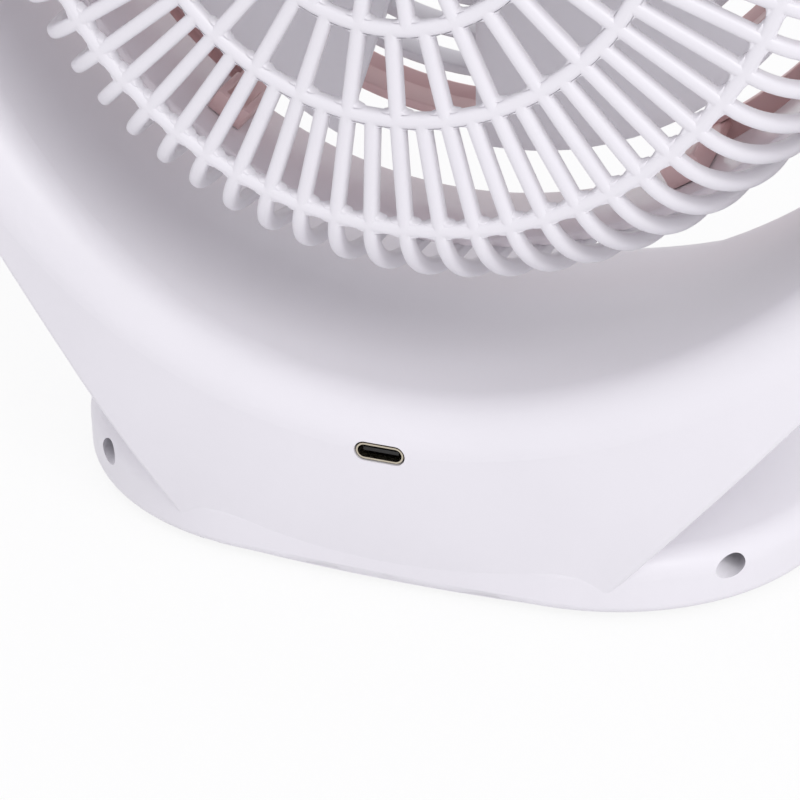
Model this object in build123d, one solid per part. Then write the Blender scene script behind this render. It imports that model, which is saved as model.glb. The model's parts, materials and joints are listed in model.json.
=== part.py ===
from build123d import *
import os
from math import atan2, cos, degrees, hypot, radians, sin, sqrt, tan

# Rechargeable desk fan. Sizes are in millimetres.
# The fan blows towards -Y, the rear with the charging socket faces +Y, and the table is at Z = 0.

OVERRUN = 1.0
FULL_TURN = 360.0
QUARTER_TURN = 90.0
HALF_TURN = 180.0

# Fan axis and tilt axis
HEAD_Z = 140.0
TILT_Y = 10.0

# Housing walls
WALL = 2.2
SEAM_Y = -1.0
SHELL_BOTTOM_Z = 1.5
BUILD_LOW_Z = -20.0
BUILD_HIGH_Z = 200.0
BUILD_REACH = 130.0

# Housing outline seen from behind
SIDE_FOOT_X = 38.7
SIDE_KNEE_X = 84.0
SIDE_KNEE_Z = 60.6
ARM_OUTER_X = 118.0
ARM_TOP_Z = 163.0
ARM_CORNER_R = 18.0

# Housing rear face: bowed in plan and tucked in a little towards the table
REAR_FACE_Y = 52.5
REAR_BOW_R = 335.0
REAR_TUCK = 3.4
REAR_TUCK_TOP_Z = 34.0

# Housing front seen from the side
FRONT_FOOT_Y = -47.0
FRONT_FOOT_Z = 8.0
PANEL_TOP_Y = -17.0
PANEL_TOP_Z = 47.0
FRONT_ARM_Y = -13.0

# Open cradle that the head hangs in
CRADLE_R = 100.0
CRADLE_EDGE_R = 9.0
RIM_EDGE_R = 1.2
ON_EDGE = 0.05

# Foot under the housing
FOOT_HALF_X = 77.6
FOOT_HALF_Y = 50.0
FOOT_LONG_R = 600.0
FOOT_TOP_Z = 13.5
FOOT_TOP_EDGE_R = 4.5
FOOT_BOTTOM_EDGE_R = 2.0

# Screws that close the two shells, in deep holes at the rear of the foot
SHELL_SCREW_X = 62.0
SHELL_SCREW_Z = 9.4
SHELL_SCREW_HOLE_R = 2.3
SHELL_SCREW_SEAT_Y = 22.0
SHELL_SCREW_BOSS_R = 4.2
SHELL_SCREW_BOSS_END_Y = -14.0
SHELL_SCREW_HEAD_R = 2.05
SHELL_SCREW_HEAD_LENGTH = 2.0
SHELL_SCREW_R = 1.25
SHELL_SCREW_CLEARANCE_R = 1.4
SHELL_SCREW_TIP_Y = -11.0
CROSS_SLOT_WIDTH = 0.8
CROSS_SLOT_DEPTH = 0.8

# Base plate with its screws and feet
PLATE_GAP = 0.2
PLATE_THICKNESS = 2.2
PLATE_BOSS_X = 53.0
PLATE_BOSS_REAR_Y = 14.0
PLATE_BOSS_FRONT_Y = -16.0
PLATE_BOSS_R = 3.5
PLATE_SCREW_R = 1.25
PLATE_SCREW_CLEARANCE_R = 1.4
PLATE_SCREW_HEAD_R = 2.5
PLATE_SCREW_SINK_R = 2.7
PLATE_SCREW_HEAD_LENGTH = 1.2
PLATE_SCREW_LENGTH = 7.0
RUBBER_FOOT_X = 48.0
RUBBER_FOOT_Y = 31.0
RUBBER_FOOT_R = 7.0
RUBBER_FOOT_SINK = 0.8
RUBBER_FOOT_EDGE_R = 0.5

# Battery cells and their tray
CELL_R = 9.2
CELL_LENGTH = 65.2
CELL_REAR_Y = 20.0
CELL_FRONT_Y = 0.0
CELL_BUTTON_R = 4.0
CELL_BUTTON_LENGTH = 0.8
TRAY_FLOOR = 1.2
TRAY_END_WALL = 2.0
TRAY_SIDE_WALL = 1.8
TRAY_HEIGHT = 9.0

# Charging socket and circuit board
SOCKET_Z = 30.8
SOCKET_WIDTH = 8.94
SOCKET_HEIGHT = 3.16
SOCKET_METAL = 0.3
SOCKET_LENGTH = 7.6
SOCKET_RECESS = 0.3
SOCKET_BACK = 1.0
SOCKET_MOUTH_GAP = 0.35
TONGUE_WIDTH = 6.7
TONGUE_THICKNESS = 0.7
TONGUE_MOUTH_GAP = 0.9
INSERT_LENGTH = 1.8
BOARD_HALF_X = 24.0
BOARD_REAR_Y = 48.2
BOARD_FRONT_Y = 32.0
BOARD_THICKNESS = 1.6
BOARD_POST_X = 19.0
BOARD_POST_Y = 40.0
BOARD_POST_R = 3.0
BOARD_SCREW_R = 1.25
BOARD_SCREW_HEAD_R = 2.4
BOARD_SCREW_HEAD_LENGTH = 1.4
BOARD_SCREW_LENGTH = 8.0

# Speed dial on the sloping front panel
DIAL_DOWN = 5.5
DIAL_R = 11.0
DIAL_PANEL_GAP = 0.6
DIAL_TOP = 5.6
DIAL_TOP_EDGE_R = 1.2
DIAL_GRIP_COUNT = 24
DIAL_GRIP_R = 0.7
DIAL_GRIP_TOP_EDGE = 1.6
DIAL_HOLLOW_R = 7.0
DIAL_HOLLOW_TOP = 2.6
SHAFT_R = 2.9
SHAFT_TOP = 4.6
SHAFT_BOTTOM = -6.6
BUSH_RUNNING_GAP = 0.06
BUSH_R = 3.6
BUSH_TOP = 2.2
ENCODER_HALF = 6.2
ENCODER_DEPTH = 6.5
ENCODER_NUT_R = 5.8
ENCODER_NUT_THICKNESS = 1.6
NUT_SIDES = 6
POINTER_WIDTH = 1.4
POINTER_LENGTH = 5.0
POINTER_DEPTH = 0.7
POINTER_CENTRE = 7.0
POINTER_OFF_TURN = 135.0

# Charge lights above the dial
LIGHT_COUNT = 4
LIGHT_PITCH = 6.0
LIGHT_R = 1.2
LIGHT_UP = 9.0
LIGHT_LENGTH = 4.5

# Tilt pivots
PIVOT_HUB_R = 9.0
PIVOT_HUB_END_X = 96.5
PIVOT_PIN_START_X = 86.0
PIVOT_PIN_END_X = 106.5
PIVOT_PIN_R = 3.0
PIVOT_WASHER_R = 8.0
PIVOT_FACE_GAP = 0.3
PIVOT_PAD_X = 98.5
PIVOT_PAD_R = 10.0
PIVOT_BOSS_R = 7.5
PIVOT_BUSH_R = 5.0
PIVOT_BUSH_END_X = 104.0
PIVOT_RUNNING_GAP = 0.05
PIVOT_CLIP_R = 5.5
PIVOT_CLIP_THICKNESS = 1.0

# Rear cage: outer surface as radius and depth
CAGE_CENTRE_R = 24.0
RING_THREE_R = 29.5
RING_THREE_Y = 51.3
RING_TWO_R = 45.7
RING_TWO_Y = 50.5
RING_ONE_R = 66.3
RING_ONE_Y = 48.8
SHOULDER_LINE_R = 81.2
SHOULDER_LINE_Y = 35.0
SHOULDER_ARC_R = 15.0
CAGE_R = 86.0
SHOULDER_END_Y = 24.0
CAGE_RIM_REAR_Y = 8.0
CAGE_RIM_FRONT_Y = -1.5
CAGE_RIM_INNER_R = 82.4
RIB_DEPTH = 3.2
RIB_WIDTH = 2.1
OUTER_RIBS = 66
MIDDLE_RIBS = 33
INNER_RIBS = 22
RING_WIDTH = 2.6
RING_DEPTH = 3.0
RING_EDGE_R = 0.9
CENTRE_THICKNESS = 3.2

# Motor
MOTOR_R = 18.0
MOTOR_WALL = 1.2
MOTOR_FRONT_Y = 21.0
MOTOR_FRONT_WALL = 1.6
END_PLATE_THICKNESS = 2.0
MOTOR_BUSH_R = 4.0
MOTOR_BUSH_LENGTH = 4.0
MOTOR_SHAFT_R = 1.58
MOTOR_RUNNING_GAP = 0.05
MOTOR_SHAFT_FRONT_Y = -6.0
ARMATURE_R = 13.0
ARMATURE_LENGTH = 13.0
ARMATURE_SLOTS = 5
ARMATURE_SLOT_WIDTH = 3.0
ARMATURE_SLOT_DEPTH = 6.0
MAGNET_INNER_R = 13.6
MAGNET_LENGTH = 16.0
MAGNET_SPLIT = 6.0
MOTOR_SCREW_COUNT = 3
MOTOR_SCREW_CIRCLE_R = 12.0
MOTOR_SCREW_R = 1.5
MOTOR_SCREW_HEAD_R = 2.6
MOTOR_SCREW_HEAD_LENGTH = 1.4

# Fan blades
BLADE_COUNT = 5
BLADE_TIP_R = 70.5
BLADE_ROOT_R = 17.0
BLADE_THICKNESS = 1.8
BLADE_ROOT_CHORD = 24.0
BLADE_TIP_CHORD = 80.0
BLADE_ROOT_PITCH = 40.0
BLADE_TIP_PITCH = 8.0
BLADE_MID_Y = 5.5
BLADE_LOFT_R = 78.0
BLADE_TURN = 46.0
HUB_R = 19.0
HUB_WALL = 2.0
HUB_REAR_Y = 17.0
HUB_FRONT_Y = -3.0
HUB_EDGE_R = 1.5
HUB_BOSS_R = 5.0
HUB_BOSS_REAR_Y = 15.0
BLADE_NUT_R = 4.0
BLADE_NUT_THICKNESS = 2.6

# Liner inside the cage rim
LINER_R = 82.3
LINER_WALL = 1.9
LINER_FRONT_Y = -1.5
LINER_REAR_Y = 20.0

# Front grille: a band in front of the blade tips, two side wings and clips that reach into the liner
BAND_OUTER_R = 68.6
BAND_INNER_R = 66.8
BAND_REAR_Y = -5.0
BAND_LIP_R = 64.8
BAND_LIP_Y = -12.0
GRILLE_FRONT_Y = -15.0
GRILLE_R = 86.5
WING_SPREAD = 58.0
WING_INNER_R = 78.0
WING_FRONT_Y = -13.0
WING_REAR_Y = -2.0
WING_THICKNESS = 2.5
WING_WALL = 2.2
WING_EDGE_R = 2.0
SPOKE_SPREAD = 53.0
SPOKE_WIDTH = 4.0
SPOKE_DEPTH = 4.0
CLIP_SPREAD = 56.0
CLIP_R = 80.2
CLIP_WIDTH = 7.5
CLIP_DEPTH = 4.5
CLIP_WALL = 1.6
CLIP_FRONT_Y = 3.0
CLIP_REAR_Y = 13.0

# Grille insert: rings and spokes inside the band
INSERT_RING_R = 60.5
INSERT_RING_PITCH = 7.0
INSERT_RING_COUNT = 6
INSERT_RING_WALL = 1.8
INSERT_REAR_Y = -8.0
INSERT_SPOKES = 8
INSERT_SPOKE_WIDTH = 1.8
INSERT_FIT_GAP = 0.1
GRILLE_HUB_R = 18.0
GRILLE_HUB_WALL = 2.5
GRILLE_CAP_R = 16.0
GRILLE_CAP_SINK = 1.2
GRILLE_CAP_PROUD = 0.8
GRILLE_CAP_EDGE_R = 0.6

PLATE_TOP_Z = SHELL_BOTTOM_Z + PLATE_THICKNESS
CELL_Z = PLATE_TOP_Z + TRAY_FLOOR + CELL_R
BOARD_TOP_Z = SOCKET_Z - SOCKET_HEIGHT / 2
BOARD_BOTTOM_Z = BOARD_TOP_Z - BOARD_THICKNESS
END_PLATE_REAR_Y = RING_THREE_Y - CENTRE_THICKNESS
END_PLATE_FRONT_Y = END_PLATE_REAR_Y - END_PLATE_THICKNESS
PANEL_ANGLE = degrees(atan2(PANEL_TOP_Z - FRONT_FOOT_Z, PANEL_TOP_Y - FRONT_FOOT_Y))
PANEL = Plane(
    origin=(0, (FRONT_FOOT_Y + PANEL_TOP_Y) / 2, (FRONT_FOOT_Z + PANEL_TOP_Z) / 2),
    x_dir=(1, 0, 0),
    z_dir=(0, -sin(radians(PANEL_ANGLE)), cos(radians(PANEL_ANGLE))),
)
DIAL = PANEL * Pos(0, -DIAL_DOWN, 0)
HEAD = Pos(0, 0, HEAD_Z)


# Small helpers

def rod(radius, low, high):
    return Pos(0, 0, low) * Cylinder(radius, high - low, align=(Align.CENTER, Align.CENTER, Align.MIN))


def rod_y(radius, low, high):
    return Rot(-QUARTER_TURN, 0, 0) * rod(radius, low, high)


def rod_x(radius, low, high):
    return Rot(0, QUARTER_TURN, 0) * rod(radius, low, high)


def tube_y(outer, inner, low, high):
    return rod_y(outer, low, high) - rod_y(inner, low - OVERRUN, high + OVERRUN)


def tube_x(outer, inner, low, high):
    return rod_x(outer, low, high) - rod_x(inner, low - OVERRUN, high + OVERRUN)


def block(low, high):
    size = [b - a for a, b in zip(low, high)]
    middle = [(a + b) / 2 for a, b in zip(low, high)]
    return Pos(*middle) * Box(*size)


def both_sides(shape):
    return [shape, mirror(shape, Plane.YZ)]


def group(shapes):
    solids = []
    for shape in shapes:
        solids.extend(shape.solids())
    return Compound(children=solids)


def around(shape, count, first_turn=0):
    step = FULL_TURN / count
    return [Rot(0, first_turn + step * index, 0) * shape for index in range(count)]


def merged(shapes):
    solids = []
    for shape in shapes:
        solids.extend(shape.solids())
    return Part() + solids


# Housing

def rear_outline(inset):
    lean = atan2(SIDE_KNEE_X - SIDE_FOOT_X, SIDE_KNEE_Z - SHELL_BOTTOM_Z)
    bend = (ARM_OUTER_X - SIDE_KNEE_X) / (1 - cos(lean))
    bend_x = ARM_OUTER_X - bend
    bend_z = SIDE_KNEE_Z + bend * sin(lean)
    low = (SIDE_FOOT_X - (SHELL_BOTTOM_Z - BUILD_LOW_Z) * tan(lean), BUILD_LOW_Z)
    knee = (SIDE_KNEE_X, SIDE_KNEE_Z)
    middle = (bend_x + bend * cos(lean / 2), bend_z - bend * sin(lean / 2))
    side = (ARM_OUTER_X, bend_z)
    top = (ARM_OUTER_X, ARM_TOP_Z)
    edges = [
        Line((0, BUILD_LOW_Z), low),
        Line(low, knee),
        ThreePointArc(knee, middle, side),
        Line(side, top),
        Line(top, (0, ARM_TOP_Z)),
        Line((0, ARM_TOP_Z), (0, BUILD_LOW_Z)),
    ]
    half = make_face(edges)
    full = half + mirror(half, Plane.YZ)
    return offset(full, -inset) if inset else full


def rear_bow(inset):
    radius = REAR_BOW_R - inset
    drop = REAR_TUCK_TOP_Z - SHELL_BOTTOM_Z
    curve = (drop * drop + REAR_TUCK * REAR_TUCK) / (2 * REAR_TUCK)

    def reach(z):
        return radius - curve + sqrt(curve * curve - (REAR_TUCK_TOP_Z - z) ** 2)

    low = (reach(BUILD_LOW_Z), BUILD_LOW_Z)
    middle = (reach(SHELL_BOTTOM_Z), SHELL_BOTTOM_Z)
    high = (radius, REAR_TUCK_TOP_Z)
    edges = [
        Line((0, BUILD_LOW_Z), low),
        ThreePointArc(low, middle, high),
        Line(high, (radius, BUILD_HIGH_Z)),
        Line((radius, BUILD_HIGH_Z), (0, BUILD_HIGH_Z)),
        Line((0, BUILD_HIGH_Z), (0, BUILD_LOW_Z)),
    ]
    turned = revolve(Plane.XZ * make_face(edges), Axis.Z, FULL_TURN)
    return Pos(0, REAR_FACE_Y - REAR_BOW_R, 0) * turned


def front_profile(inset):
    corners = Polyline(
        (BUILD_REACH, BUILD_LOW_Z),
        (FRONT_FOOT_Y, BUILD_LOW_Z),
        (FRONT_FOOT_Y, FRONT_FOOT_Z),
        (PANEL_TOP_Y, PANEL_TOP_Z),
        (FRONT_ARM_Y, BUILD_HIGH_Z),
        (BUILD_REACH, BUILD_HIGH_Z),
        close=True,
    )
    face = make_face(corners)
    return offset(face, -inset) if inset else face


def cradle(radius):
    bowl = rod_y(radius, -BUILD_REACH, BUILD_REACH)
    slot = block((-radius, -BUILD_REACH, 0), (radius, BUILD_REACH, BUILD_REACH))
    return HEAD * (bowl + slot)


def lies_on_cradle(edge, radius):
    for share in (0, 0.25, 0.5, 0.75, 1):
        point = edge @ share
        reach = hypot(point.X, point.Z - HEAD_Z) if point.Z < HEAD_Z else abs(point.X)
        if abs(reach - radius) > ON_EDGE:
            return False
    return True


def is_outer_rim(edge):
    for share in (0, 0.5, 1):
        point = edge @ share
        if abs(hypot(point.X, point.Y - REAR_FACE_Y + REAR_BOW_R) - REAR_BOW_R) > REAR_TUCK:
            return False
    middle = edge @ 0.5
    below_corner = middle.Z < ARM_TOP_Z - ARM_CORNER_R
    outside_cradle = hypot(middle.X, middle.Z - HEAD_Z) > CRADLE_R + CRADLE_EDGE_R
    rising = abs((edge @ 0).Z - (edge @ 1).Z) > CRADLE_EDGE_R
    return below_corner and outside_cradle and rising and abs(middle.X) > SIDE_FOOT_X


def body(inset):
    shape = extrude(Plane.XZ * rear_outline(inset), BUILD_REACH, both=True)
    shape = shape & rear_bow(inset)
    shape = shape & extrude(Plane.YZ * front_profile(inset), BUILD_REACH, both=True)
    radius = CRADLE_R + inset
    shape = shape - cradle(radius)
    top_z = ARM_TOP_Z - inset
    tops = [edge for edge in shape.edges().filter_by_position(Axis.Z, top_z - ON_EDGE, top_z + ON_EDGE)
            if abs((edge @ 0).Y - (edge @ 1).Y) < ARM_CORNER_R]
    shape = fillet(tops, ARM_CORNER_R - inset)
    lips = [edge for edge in shape.edges() if lies_on_cradle(edge, radius)
            and not (edge.geom_type == GeomType.LINE and abs((edge % 0).Y) > 1 - ON_EDGE)]
    shape = fillet(lips, CRADLE_EDGE_R - inset)
    if inset:
        return shape
    shape = shape & block((-BUILD_REACH, -BUILD_REACH, SHELL_BOTTOM_Z),
                          (BUILD_REACH, BUILD_REACH, BUILD_HIGH_Z))
    return fillet([edge for edge in shape.edges() if is_outer_rim(edge)], RIM_EDGE_R)


def foot_outline(inset):
    half_x = FOOT_HALF_X - inset
    half_y = FOOT_HALF_Y - inset
    long_r = FOOT_LONG_R - inset
    long_y = long_r - half_y
    end_r = (long_r ** 2 - half_x ** 2 - long_y ** 2) / (2 * (long_r - half_x))
    end_x = half_x - end_r
    share = long_r / (long_r - end_r)
    join_x = end_x * share
    join_y = long_y * share - long_y
    edges = [
        ThreePointArc((-join_x, join_y), (0, half_y), (join_x, join_y)),
        ThreePointArc((join_x, join_y), (half_x, 0), (join_x, -join_y)),
        ThreePointArc((join_x, -join_y), (0, -half_y), (-join_x, -join_y)),
        ThreePointArc((-join_x, -join_y), (-half_x, 0), (-join_x, join_y)),
    ]
    return make_face(edges)


def foot(inset):
    low = BUILD_LOW_Z if inset else SHELL_BOTTOM_Z
    top = FOOT_TOP_Z - inset
    shape = extrude(Pos(0, 0, low) * foot_outline(inset), top - low)
    shape = fillet(shape.edges().group_by(Axis.Z)[-1], FOOT_TOP_EDGE_R - inset)
    if inset:
        return shape
    return fillet(shape.edges().group_by(Axis.Z)[0], FOOT_BOTTOM_EDGE_R)


def housing(inset):
    return body(inset) + foot(inset)


def front_of_seam():
    return block((-BUILD_REACH, -BUILD_REACH, BUILD_LOW_Z), (BUILD_REACH, SEAM_Y, BUILD_HIGH_Z))


def plate_bosses(y, outer):
    bosses = []
    for x in (-PLATE_BOSS_X, PLATE_BOSS_X):
        bosses.append(Pos(x, y, 0) * rod(PLATE_BOSS_R, PLATE_TOP_Z, FOOT_TOP_Z) & outer)
    return bosses


def plate_boss_bores(y):
    return [Pos(x, y, 0) * rod(PLATE_SCREW_R, PLATE_TOP_Z - OVERRUN, PLATE_TOP_Z + PLATE_SCREW_LENGTH)
            for x in (-PLATE_BOSS_X, PLATE_BOSS_X)]


def socket_oblong(width, height, low, high):
    face = SlotOverall(width, height)
    return Pos(0, high, SOCKET_Z) * extrude(Plane.XZ * face, high - low)


def make_rear_shell(hollow, outer):
    shell = hollow - front_of_seam()
    for side in (-1, 1):
        axis = Pos(side * SHELL_SCREW_X, 0, SHELL_SCREW_Z)
        shell += axis * rod_y(SHELL_SCREW_BOSS_R, SEAM_Y, FOOT_HALF_Y) & outer
        shell -= axis * rod_y(SHELL_SCREW_HOLE_R, SHELL_SCREW_SEAT_Y, FOOT_HALF_Y)
        shell -= axis * rod_y(SHELL_SCREW_CLEARANCE_R, SEAM_Y - OVERRUN, FOOT_HALF_Y)
    for boss in plate_bosses(PLATE_BOSS_REAR_Y, outer):
        shell += boss
    for bore in plate_boss_bores(PLATE_BOSS_REAR_Y):
        shell -= bore
    pivot = Pos(0, TILT_Y, HEAD_Z)
    pad = pivot * (rod_x(PIVOT_PAD_R, PIVOT_PAD_X, CRADLE_R + WALL)
                   + rod_x(PIVOT_BOSS_R, PIVOT_PAD_X, PIVOT_BUSH_END_X))
    bore = pivot * rod_x(PIVOT_BUSH_R, PIVOT_PAD_X - OVERRUN, PIVOT_BUSH_END_X + OVERRUN)
    for shape in both_sides(pad):
        shell += shape
    for shape in both_sides(bore):
        shell -= shape
    mouth_gap = 2 * SOCKET_MOUTH_GAP
    return shell - socket_oblong(SOCKET_WIDTH + mouth_gap, SOCKET_HEIGHT + mouth_gap,
                                 BOARD_REAR_Y, REAR_FACE_Y + OVERRUN)


def light_places():
    first = -LIGHT_PITCH * (LIGHT_COUNT - 1) / 2
    return [PANEL * Pos(first + LIGHT_PITCH * index, LIGHT_UP, 0) for index in range(LIGHT_COUNT)]


def make_front_shell(hollow, outer):
    shell = hollow & front_of_seam()
    for side in (-1, 1):
        axis = Pos(side * SHELL_SCREW_X, 0, SHELL_SCREW_Z)
        shell += axis * rod_y(SHELL_SCREW_BOSS_R, SHELL_SCREW_BOSS_END_Y, SEAM_Y) & outer
        shell -= axis * rod_y(SHELL_SCREW_R, SHELL_SCREW_TIP_Y, SEAM_Y + OVERRUN)
    for boss in plate_bosses(PLATE_BOSS_FRONT_Y, outer):
        shell += boss
    for bore in plate_boss_bores(PLATE_BOSS_FRONT_Y):
        shell -= bore
    shell -= DIAL * rod(BUSH_R, -WALL - OVERRUN, OVERRUN)
    for place in light_places():
        shell -= place * rod(LIGHT_R, -LIGHT_LENGTH, OVERRUN)
    return shell


def cross_slot(radius):
    return (Box(2 * radius, CROSS_SLOT_WIDTH, 2 * CROSS_SLOT_DEPTH)
            + Box(CROSS_SLOT_WIDTH, 2 * radius, 2 * CROSS_SLOT_DEPTH))


def screw(head_r, head_length, shank_r, length, slot_share=0.7):
    head = rod(head_r, 0, head_length) + rod(shank_r, -length, 0)
    return head - Pos(0, 0, head_length) * cross_slot(head_r * slot_share)


def make_shell_screws():
    length = SHELL_SCREW_SEAT_Y - SHELL_SCREW_TIP_Y
    one = screw(SHELL_SCREW_HEAD_R, SHELL_SCREW_HEAD_LENGTH, SHELL_SCREW_R, length)
    return group([Pos(x, SHELL_SCREW_SEAT_Y, SHELL_SCREW_Z) * Rot(-QUARTER_TURN, 0, 0) * one
                  for x in (-SHELL_SCREW_X, SHELL_SCREW_X)])


def plate_screw_places():
    return [(x, y) for x in (-PLATE_BOSS_X, PLATE_BOSS_X) for y in (PLATE_BOSS_REAR_Y, PLATE_BOSS_FRONT_Y)]


def rubber_foot_places():
    return [(x, y) for x in (-RUBBER_FOOT_X, RUBBER_FOOT_X) for y in (-RUBBER_FOOT_Y, RUBBER_FOOT_Y)]


def make_base_plate():
    slab = block((-BUILD_REACH, -BUILD_REACH, SHELL_BOTTOM_Z), (BUILD_REACH, BUILD_REACH, PLATE_TOP_Z))
    plate = housing(WALL + PLATE_GAP) & slab
    sink_top = SHELL_BOTTOM_Z + PLATE_SCREW_HEAD_LENGTH
    for x, y in plate_screw_places():
        plate -= Pos(x, y, 0) * rod(PLATE_SCREW_SINK_R, 0, sink_top)
        plate -= Pos(x, y, 0) * rod(PLATE_SCREW_CLEARANCE_R, 0, PLATE_TOP_Z + OVERRUN)
    for x, y in rubber_foot_places():
        plate -= Pos(x, y, 0) * rod(RUBBER_FOOT_R, 0, SHELL_BOTTOM_Z + RUBBER_FOOT_SINK)
    for x in (-BOARD_POST_X, BOARD_POST_X):
        post = rod(BOARD_POST_R, PLATE_TOP_Z, BOARD_BOTTOM_Z)
        post -= rod(BOARD_SCREW_R, BOARD_TOP_Z - BOARD_SCREW_LENGTH, BOARD_BOTTOM_Z + OVERRUN)
        plate += Pos(x, BOARD_POST_Y, 0) * post
    return plate


def make_plate_screws():
    one = screw(PLATE_SCREW_HEAD_R, PLATE_SCREW_HEAD_LENGTH, PLATE_SCREW_R, PLATE_SCREW_LENGTH)
    seat = SHELL_BOTTOM_Z + PLATE_SCREW_HEAD_LENGTH
    return group([Pos(x, y, seat) * Rot(HALF_TURN, 0, 0) * one for x, y in plate_screw_places()])


def make_rubber_feet():
    one = rod(RUBBER_FOOT_R, 0, SHELL_BOTTOM_Z + RUBBER_FOOT_SINK)
    one = fillet(one.edges().group_by(Axis.Z)[0], RUBBER_FOOT_EDGE_R)
    return group([Pos(x, y, 0) * one for x, y in rubber_foot_places()])


# Battery, board and socket

def cell_places():
    return [Pos(0, y, CELL_Z) for y in (CELL_FRONT_Y, CELL_REAR_Y)]


def make_battery_cells():
    half = CELL_LENGTH / 2
    one = rod_x(CELL_R, -half, half - CELL_BUTTON_LENGTH) + rod_x(CELL_BUTTON_R, -half, half)
    return group([place * one for place in cell_places()])


def make_battery_tray():
    end = CELL_LENGTH / 2
    low = (-end - TRAY_END_WALL, CELL_FRONT_Y - CELL_R - TRAY_SIDE_WALL, PLATE_TOP_Z)
    high = (end + TRAY_END_WALL, CELL_REAR_Y + CELL_R + TRAY_SIDE_WALL, PLATE_TOP_Z + TRAY_HEIGHT)
    tray = block(low, high)
    for place in cell_places():
        tray -= place * rod_x(CELL_R, -end, end)
    middle = block((-end, CELL_FRONT_Y, CELL_Z), (end, CELL_REAR_Y, CELL_Z + CELL_R))
    return tray - middle


def make_main_board():
    board = block((-BOARD_HALF_X, BOARD_FRONT_Y, BOARD_BOTTOM_Z), (BOARD_HALF_X, BOARD_REAR_Y, BOARD_TOP_Z))
    for x in (-BOARD_POST_X, BOARD_POST_X):
        board -= Pos(x, BOARD_POST_Y, 0) * rod(BOARD_SCREW_R, BOARD_BOTTOM_Z - OVERRUN, BOARD_TOP_Z + OVERRUN)
    return board


def make_board_screws():
    one = screw(BOARD_SCREW_HEAD_R, BOARD_SCREW_HEAD_LENGTH, BOARD_SCREW_R, BOARD_SCREW_LENGTH)
    return group([Pos(x, BOARD_POST_Y, BOARD_TOP_Z) * one for x in (-BOARD_POST_X, BOARD_POST_X)])


def make_socket_shell():
    mouth = REAR_FACE_Y - SOCKET_RECESS
    back = mouth - SOCKET_LENGTH
    metal = 2 * SOCKET_METAL
    return (socket_oblong(SOCKET_WIDTH, SOCKET_HEIGHT, back, mouth)
            - socket_oblong(SOCKET_WIDTH - metal, SOCKET_HEIGHT - metal, back + SOCKET_BACK, mouth + OVERRUN))


def make_socket_insert():
    mouth = REAR_FACE_Y - SOCKET_RECESS
    back = mouth - SOCKET_LENGTH + SOCKET_BACK
    metal = 2 * SOCKET_METAL
    insert = socket_oblong(SOCKET_WIDTH - metal, SOCKET_HEIGHT - metal, back, back + INSERT_LENGTH)
    half = TONGUE_THICKNESS / 2
    return insert + block((-TONGUE_WIDTH / 2, back, SOCKET_Z - half),
                          (TONGUE_WIDTH / 2, mouth - TONGUE_MOUTH_GAP, SOCKET_Z + half))


# Speed dial

def make_encoder():
    low = -WALL - ENCODER_DEPTH
    case = Pos(0, 0, (low - WALL) / 2) * Box(2 * ENCODER_HALF, 2 * ENCODER_HALF, ENCODER_DEPTH)
    case += rod(BUSH_R, -WALL, BUSH_TOP)
    bore = rod(SHAFT_R + BUSH_RUNNING_GAP, SHAFT_BOTTOM - PIVOT_FACE_GAP, BUSH_TOP + OVERRUN)
    return DIAL * (case - bore)


def make_encoder_nut():
    nut = extrude(RegularPolygon(ENCODER_NUT_R, NUT_SIDES), ENCODER_NUT_THICKNESS)
    return DIAL * (nut - rod(BUSH_R, -OVERRUN, ENCODER_NUT_THICKNESS + OVERRUN))


def make_encoder_shaft():
    return DIAL * rod(SHAFT_R, SHAFT_BOTTOM, SHAFT_TOP)


def pointer_bar():
    bar = Box(POINTER_WIDTH, POINTER_LENGTH, POINTER_DEPTH)
    return Rot(0, 0, POINTER_OFF_TURN) * Pos(0, POINTER_CENTRE, DIAL_TOP - POINTER_DEPTH / 2) * bar


def make_speed_dial():
    knob = rod(DIAL_R, DIAL_PANEL_GAP, DIAL_TOP)
    knob = fillet(knob.edges().group_by(Axis.Z)[-1], DIAL_TOP_EDGE_R)
    grip = Pos(DIAL_R, 0, 0) * rod(DIAL_GRIP_R, 0, DIAL_TOP - DIAL_GRIP_TOP_EDGE)
    step = FULL_TURN / DIAL_GRIP_COUNT
    for index in range(DIAL_GRIP_COUNT):
        knob -= Rot(0, 0, step * index) * grip
    knob -= rod(DIAL_HOLLOW_R, 0, DIAL_HOLLOW_TOP)
    knob -= rod(SHAFT_R, 0, SHAFT_TOP)
    return DIAL * (knob - pointer_bar())


def make_dial_pointer():
    return DIAL * pointer_bar()


def make_charge_lights():
    return group([place * rod(LIGHT_R, -LIGHT_LENGTH, 0) for place in light_places()])


# Tilt pivots

PIVOT = Pos(0, TILT_Y, HEAD_Z)


def make_pivot_bushes():
    one = tube_x(PIVOT_BUSH_R, PIVOT_PIN_R + PIVOT_RUNNING_GAP, PIVOT_PAD_X, PIVOT_BUSH_END_X)
    return group(both_sides(PIVOT * one))


def make_pivot_washers():
    one = tube_x(PIVOT_WASHER_R, PIVOT_PIN_R + PIVOT_FACE_GAP, PIVOT_HUB_END_X + PIVOT_FACE_GAP, PIVOT_PAD_X)
    return group(both_sides(PIVOT * one))


def make_pivot_pins():
    return group(both_sides(PIVOT * rod_x(PIVOT_PIN_R, PIVOT_PIN_START_X, PIVOT_PIN_END_X)))


def make_pivot_clips():
    low = PIVOT_BUSH_END_X + PIVOT_FACE_GAP
    one = tube_x(PIVOT_CLIP_R, PIVOT_PIN_R, low, low + PIVOT_CLIP_THICKNESS)
    return group(both_sides(PIVOT * one))


# Rear cage, drawn with its radius along X and its depth along Y

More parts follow.
